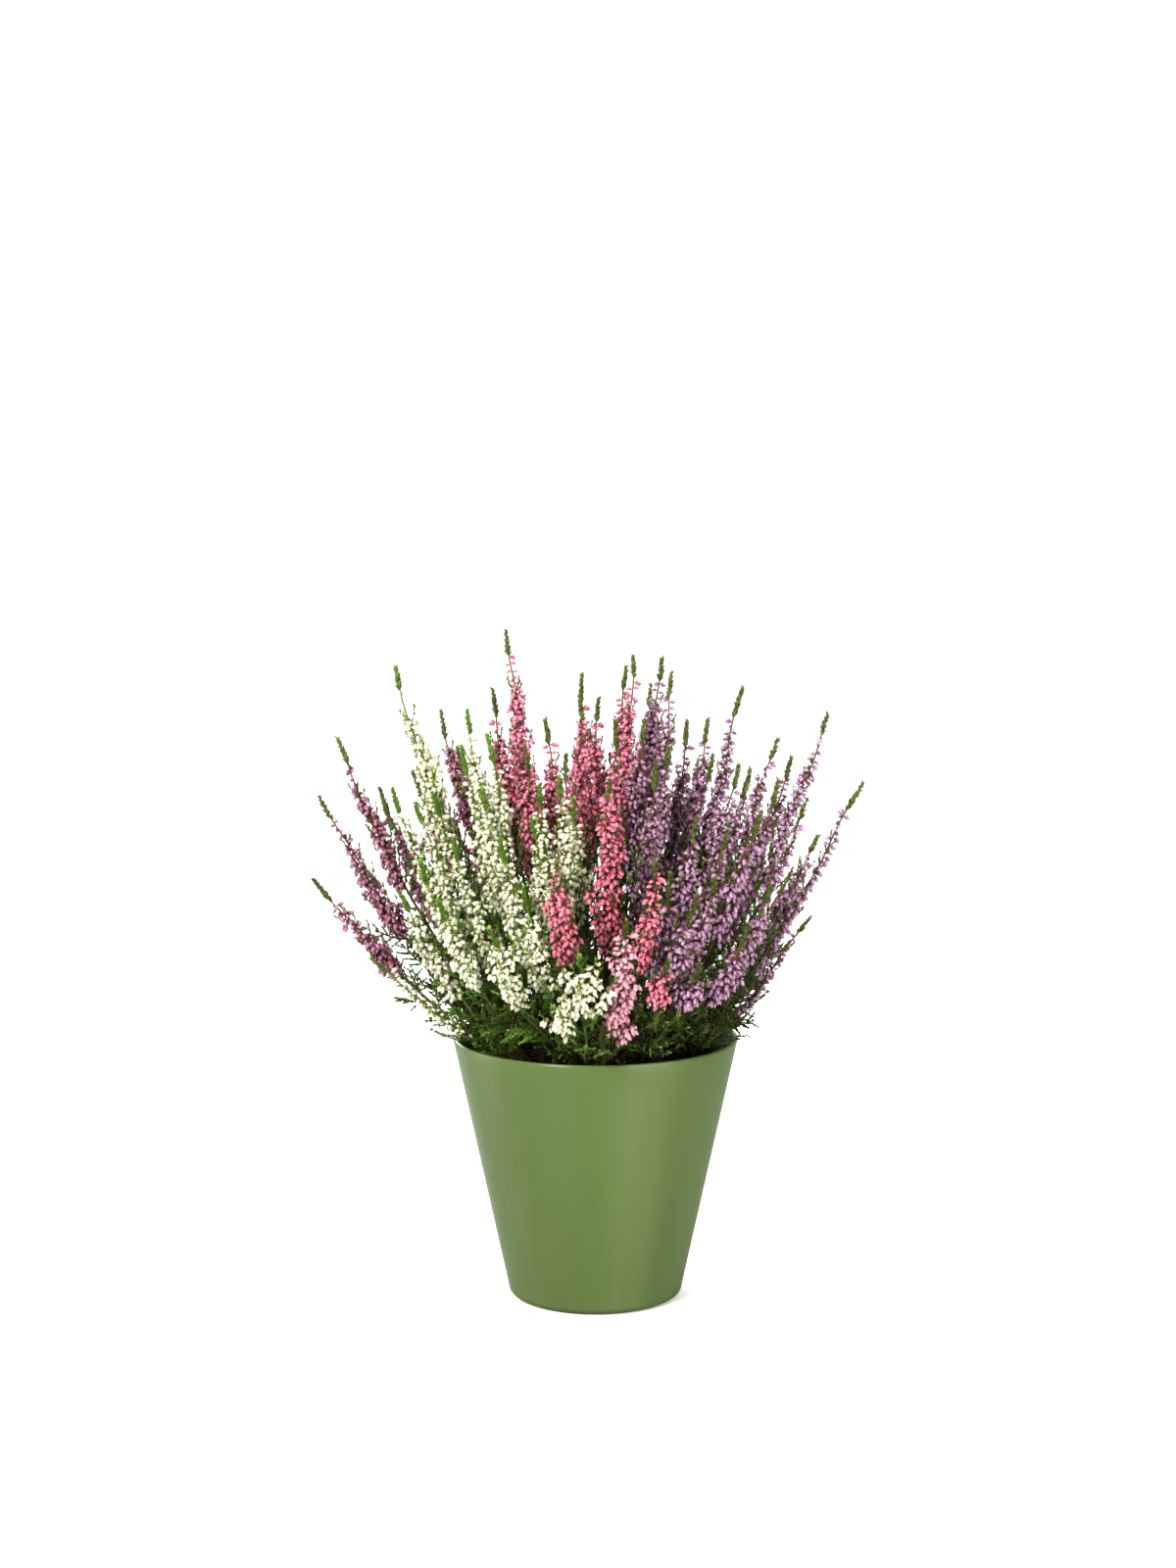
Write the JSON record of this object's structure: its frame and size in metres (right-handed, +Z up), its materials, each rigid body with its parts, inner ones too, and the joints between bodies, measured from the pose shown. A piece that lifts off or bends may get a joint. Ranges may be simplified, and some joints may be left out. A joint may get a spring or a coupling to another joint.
{
  "type": "potted heath",
  "caption": "Heath in full flower in a plain green plastic pot: upright leafy sprays of white, pink and lilac florets over low leafy twigs and peat.",
  "frame": {"origin": "centre of the pot's flat underside", "axes": "+Z up along the pot's axis, +X to the viewer's right, +Y away from the viewer, so the white sprays are towards -X and the lilac ones towards +X"},
  "size_m": [0.2459, 0.2055, 0.302],
  "materials": {
    "pot_plastic": "satin green plastic",
    "peat": "dark brown crumbly peat with fibres",
    "white_spray": "creamy white florets on leafy green stems",
    "pink_spray": "rose pink florets on reddish leafy stems",
    "lilac_spray": "lilac florets on reddish leafy stems",
    "mauve_spray": "mauve florets on reddish leafy stems",
    "leafy_twig": "dark green needle leaves"
  },
  "bodies": {
    "root": {"pot": "pot_plastic", "peat": "peat", "white_spray_01": "white_spray", "white_spray_02": "white_spray", "white_spray_03": "white_spray", "white_spray_04": "white_spray", "white_spray_05": "white_spray", "white_spray_06": "white_spray", "white_spray_07": "white_spray", "white_spray_08": "white_spray", "white_spray_09": "white_spray", "white_spray_10": "white_spray", "white_spray_11": "white_spray", "white_spray_12": "white_spray", "pink_spray_01": "pink_spray", "pink_spray_02": "pink_spray", "pink_spray_03": "pink_spray", "pink_spray_04": "pink_spray", "pink_spray_05": "pink_spray", "pink_spray_06": "pink_spray", "pink_spray_07": "pink_spray", "pink_spray_08": "pink_spray", "pink_spray_09": "pink_spray", "pink_spray_10": "pink_spray", "pink_spray_11": "pink_spray", "pink_spray_12": "pink_spray", "pink_spray_13": "pink_spray", "pink_spray_14": "pink_spray", "pink_spray_15": "pink_spray", "lilac_spray_01": "lilac_spray", "lilac_spray_02": "lilac_spray", "lilac_spray_03": "lilac_spray", "lilac_spray_04": "lilac_spray", "lilac_spray_05": "lilac_spray", "lilac_spray_06": "lilac_spray", "lilac_spray_07": "lilac_spray", "lilac_spray_08": "lilac_spray", "lilac_spray_09": "lilac_spray", "lilac_spray_10": "lilac_spray", "lilac_spray_11": "lilac_spray", "lilac_spray_12": "lilac_spray", "lilac_spray_13": "lilac_spray", "lilac_spray_14": "lilac_spray", "lilac_spray_15": "lilac_spray", "lilac_spray_16": "lilac_spray", "lilac_spray_17": "lilac_spray", "mauve_spray_01": "mauve_spray", "mauve_spray_02": "mauve_spray", "mauve_spray_03": "mauve_spray", "mauve_spray_04": "mauve_spray", "mauve_spray_05": "mauve_spray", "mauve_spray_06": "mauve_spray", "leafy_tuft_01": "leafy_twig", "leafy_tuft_02": "leafy_twig", "leafy_tuft_03": "leafy_twig", "leafy_tuft_04": "leafy_twig", "leafy_tuft_05": "leafy_twig", "leafy_tuft_06": "leafy_twig"}
  },
  "joints": []
}
